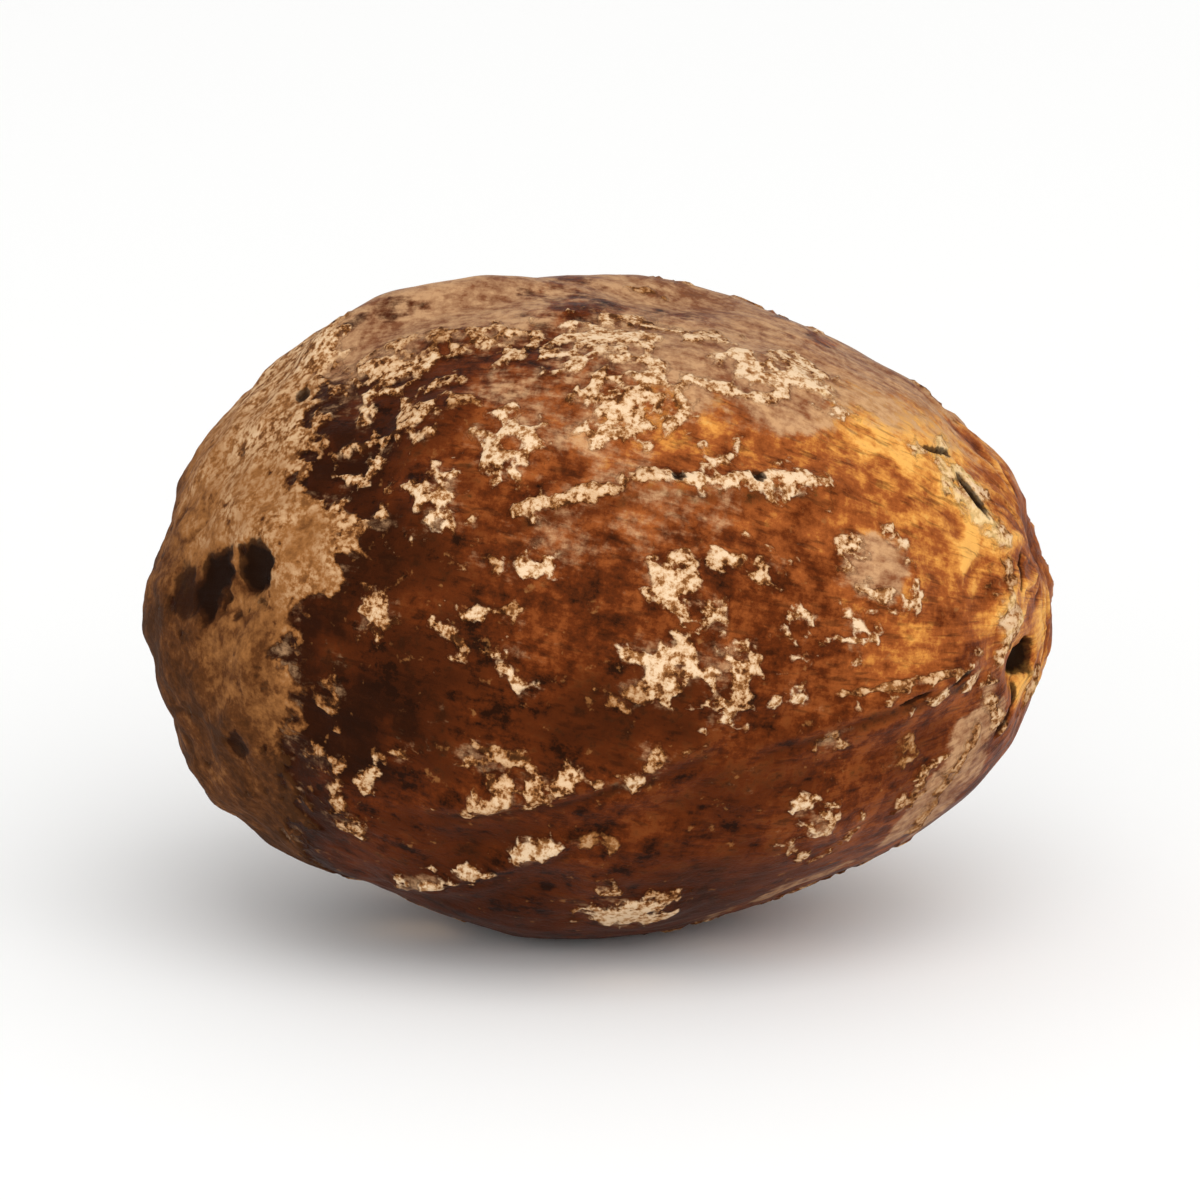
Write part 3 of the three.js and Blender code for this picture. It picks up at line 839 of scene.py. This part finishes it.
class Paint:
    """A material's node tree, built one small step at a time."""

    def __init__(self, name):
        self.material = bpy.data.materials.new(name)
        self.material.use_nodes = True
        self.tree = self.material.node_tree
        self.shader = self.tree.nodes["Principled BSDF"]
        self.patterns = {}

    def feed(self, socket, value):
        """Links a value to a socket, or sets it there if it is a plain number or colour."""
        if isinstance(value, bpy.types.NodeSocket):
            self.tree.links.new(value, socket)
        else:
            socket.default_value = value

    def attribute(self, name, output="Fac"):
        node = self.tree.nodes.new("ShaderNodeAttribute")
        node.attribute_name = name
        return node.outputs[output]

    def millimetres(self):
        """The place on the object, in millimetres."""
        coordinates = self.tree.nodes.new("ShaderNodeTexCoord")
        scale = self.tree.nodes.new("ShaderNodeVectorMath")
        scale.operation = "SCALE"
        self.feed(scale.inputs[0], coordinates.outputs["Object"])
        scale.inputs["Scale"].default_value = 1 / MM
        return scale.outputs[0]

    def add_patterns(self, patterns):
        """Keeps a noise for each pattern, under its name."""
        spaces = {"grain": self.attribute("grain", "Vector"), "place": self.millimetres()}
        for name, pattern in patterns.items():
            node = self.tree.nodes.new("ShaderNodeTexNoise")
            self.feed(node.inputs["Vector"], spaces[pattern.space])
            node.inputs["Scale"].default_value = 1 / pattern.wavelength
            node.inputs["Detail"].default_value = pattern.detail
            node.inputs["Roughness"].default_value = pattern.roughness
            self.patterns[name] = node.outputs["Fac"]

    def math(self, operation, first, second):
        node = self.tree.nodes.new("ShaderNodeMath")
        node.operation = operation
        self.feed(node.inputs[0], first)
        self.feed(node.inputs[1], second)
        return node.outputs[0]

    def sway(self, value, strengths):
        """A value moved up and down by patterns, each by its own strength."""
        for name, strength in strengths.items():
            offset = self.math("SUBTRACT", self.patterns[name], PATTERN_MIDDLE)
            value = self.math("ADD", value, self.math("MULTIPLY", offset, strength))
        return value

    def slope(self, value, slope):
        """What a smooth slope comes to at a value."""
        node = self.tree.nodes.new("ShaderNodeMapRange")
        node.interpolation_type = "SMOOTHSTEP"
        self.feed(node.inputs["Value"], value)
        for key, number in zip(("From Min", "From Max", "To Min", "To Max"), slope):
            node.inputs[key].default_value = number
        return node.outputs[0]

    def mix(self, share, first, second):
        """A share of the second colour over the first."""
        node = self.tree.nodes.new("ShaderNodeMix")
        node.data_type = "RGBA"
        self.feed(node.inputs["Factor"], share)
        self.feed(node.inputs["A"], first)
        self.feed(node.inputs["B"], second)
        return node.outputs["Result"]

    def ramp(self, value, tones):
        """Colours that follow a value, given as pairs of a place from 0 to 1 and a colour."""
        node = self.tree.nodes.new("ShaderNodeValToRGB")
        elements = node.color_ramp.elements
        for element, (place, colour) in zip(elements, (tones[0], tones[-1])):
            element.position = place
            element.color = linear(colour)
        for place, colour in tones[1:-1]:
            elements.new(place).color = linear(colour)
        self.feed(node.inputs["Fac"], value)
        return node.outputs["Color"]

    def bump(self, height, distance):
        node = self.tree.nodes.new("ShaderNodeBump")
        node.inputs["Distance"].default_value = distance
        self.feed(node.inputs["Height"], height)
        return node.outputs["Normal"]


def bare_shell(paint, warmth):
    """The colour of bare shell, with its dark patches, some of them painted shade, and its flecks and
    specks of skin.
    """
    colour = paint.ramp(warmth, SHELL_TONES)
    darkness = paint.sway(paint.attribute("dark"), DARK_SWAY)
    colour = paint.mix(paint.slope(darkness, DARK_SHARE), colour, linear(SHELL_DARK))
    colour = paint.mix(paint.slope(paint.patterns["flecks"], FLECK_SHARE), colour, linear(SHELL_DARK))
    return paint.mix(paint.slope(paint.patterns["specks"], SPECK_SHARE), colour, linear(SKIN_TAN))


def with_film(paint, colour):
    """A colour with thin film over it."""
    film = paint.sway(paint.attribute("film"), FILM_SWAY)
    haze = paint.sway(paint.patterns["dapple"], HAZE_SWAY)
    return paint.mix(paint.slope(film, FILM_SHARE), colour, paint.ramp(haze, FILM_TONES))


def skin_colour(paint, skin, warmth):
    """The colour of skin, which is straw yellow where the shell is warmest."""
    chalk = paint.sway(paint.attribute("chalk"), CHALK_SWAY)
    speckle = paint.slope(paint.sway(paint.patterns["dapple"], SPECKLE_SWAY), SPECKLE)
    speckle = paint.math("MULTIPLY", speckle, paint.slope(chalk, SPECKLE_BY_CHALK))
    paleness = paint.math("ADD", paint.sway(chalk, PALE_SWAY), speckle)
    paleness = paint.math("ADD", paleness, paint.slope(skin, PALE_BY_DEPTH))
    colour = paint.ramp(paleness, SKIN_TONES)
    return paint.mix(paint.slope(warmth, STRAW_SHARE), colour, linear(SKIN_STRAW))


def with_skin(paint, colour, skin, cover, warmth):
    """A colour with flakes of skin over it, each with painted shadow in a dark band round it."""
    # Painted shadow just outside each flake.
    painted_flake_shadow = paint.math("MULTIPLY", paint.slope(skin, SHADOW_RIM_START), paint.slope(skin, SHADOW_RIM_END))
    colour = paint.mix(painted_flake_shadow, colour, linear(SHELL_DARK))
    return paint.mix(paint.math("MULTIPLY", cover, SKIN_OPACITY), colour, skin_colour(paint, skin, warmth))


def with_gaps(paint, colour):
    """A colour with gaps, slits and the pit in it: dark shell at their edges, and painted shade, nearly
    black, deeper in.
    """
    gap = paint.sway(paint.attribute("gap"), GAP_SWAY)
    colour = paint.mix(paint.slope(gap, GAP_EDGE_SHARE), colour, linear(SHELL_DARK))
    # Painted shade, nearly black, deeper in the gaps, slits and pit.
    return paint.mix(paint.slope(gap, GAP_SHADE_SHARE), colour, linear(GAP_SHADE_BLACK))


def nutmeg_material():
    """Bare shell, film and skin in one material, which reads how much there is of each from the mesh."""
    paint = Paint("nutmeg_shell")
    paint.add_patterns(PATTERNS)
    warmth = paint.sway(paint.attribute("warm"), WARM_SWAY)
    skin = paint.sway(paint.attribute("skin"), SKIN_SWAY)
    cover = paint.slope(skin, SKIN_SHARE)
    colour = with_film(paint, bare_shell(paint, warmth))
    colour = with_gaps(paint, with_skin(paint, colour, skin, cover, warmth))
    paint.feed(paint.shader.inputs["Base Color"], colour)

    shine = paint.slope(paint.patterns["streaks"], SHELL_ROUGHNESS)
    rough = paint.math("ADD", shine, paint.math("MULTIPLY", cover, SKIN_ROUGHNESS))
    paint.feed(paint.shader.inputs["Roughness"], rough)
    paint.shader.inputs["Specular IOR Level"].default_value = SHELL_SPECULAR
    paint.shader.inputs["Specular Tint"].default_value = linear(SHELL_GLINT)

    height = paint.math("MULTIPLY", cover, SKIN_BUMP)
    for name, strength in BUMPS.items():
        height = paint.math("ADD", height, paint.math("MULTIPLY", paint.patterns[name], strength))
    paint.feed(paint.shader.inputs["Normal"], paint.bump(height, BUMP_HEIGHT * MM))
    return paint.material


def make_nutmeg():
    mesh = build_shell()
    mesh.shade_smooth()
    mesh.materials.append(nutmeg_material())
    piece = bpy.data.objects.new(NODE + "_shell", mesh)
    bpy.context.scene.collection.objects.link(piece)
    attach(piece, BODY)
    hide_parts(NODE)


def make_floor():
    mesh = bpy.data.meshes.new("floor")
    half = FLOOR_SIZE / 2
    corners = [(-half, -half, 0), (half, -half, 0), (half, half, 0), (-half, half, 0)]
    mesh.from_pydata(corners, [], [(0, 1, 2, 3)])
    paint = Paint("floor_white")
    paint.shader.inputs["Base Color"].default_value = linear(FLOOR_WHITE)
    paint.shader.inputs["Roughness"].default_value = FLOOR_ROUGHNESS
    mesh.materials.append(paint.material)
    floor = bpy.data.objects.new("floor", mesh)
    bpy.context.scene.collection.objects.link(floor)


def aim(thing, place, target):
    """Puts a light or a camera in its place, facing a target."""
    thing.location = place
    thing.rotation_euler = (Vector(target) - Vector(place)).to_track_quat("-Z", "Y").to_euler()
    bpy.context.scene.collection.objects.link(thing)


def make_lights(target):
    world = bpy.data.worlds.new("studio")
    world.use_nodes = True
    world.node_tree.nodes["Background"].inputs["Color"].default_value = WORLD_WHITE
    world.node_tree.nodes["Background"].inputs["Strength"].default_value = WORLD_STRENGTH
    bpy.context.scene.world = world
    for box in SOFTBOXES:
        light = bpy.data.lights.new(box.name, "AREA")
        light.shape = "RECTANGLE"
        light.size = box.width
        light.size_y = box.height
        light.energy = box.power
        aim(bpy.data.objects.new(box.name, light), box.place, target)


def make_camera(target):
    lens = bpy.data.cameras.new("camera")
    lens.lens = CAMERA_LENS
    lens.clip_start = CAMERA_NEAREST
    camera = bpy.data.objects.new("camera", lens)
    angle = math.radians(CAMERA_ELEVATION)
    back = Vector((0, -math.cos(angle), math.sin(angle))) * CAMERA_DISTANCE
    aim(camera, Vector(target) + back, target)
    bpy.context.scene.camera = camera


make_nutmeg()
low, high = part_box(NODE)
middle = (low + high) / 2
make_floor()
make_lights(middle)
make_camera(middle)
bpy.context.scene.view_settings.view_transform = "Standard"
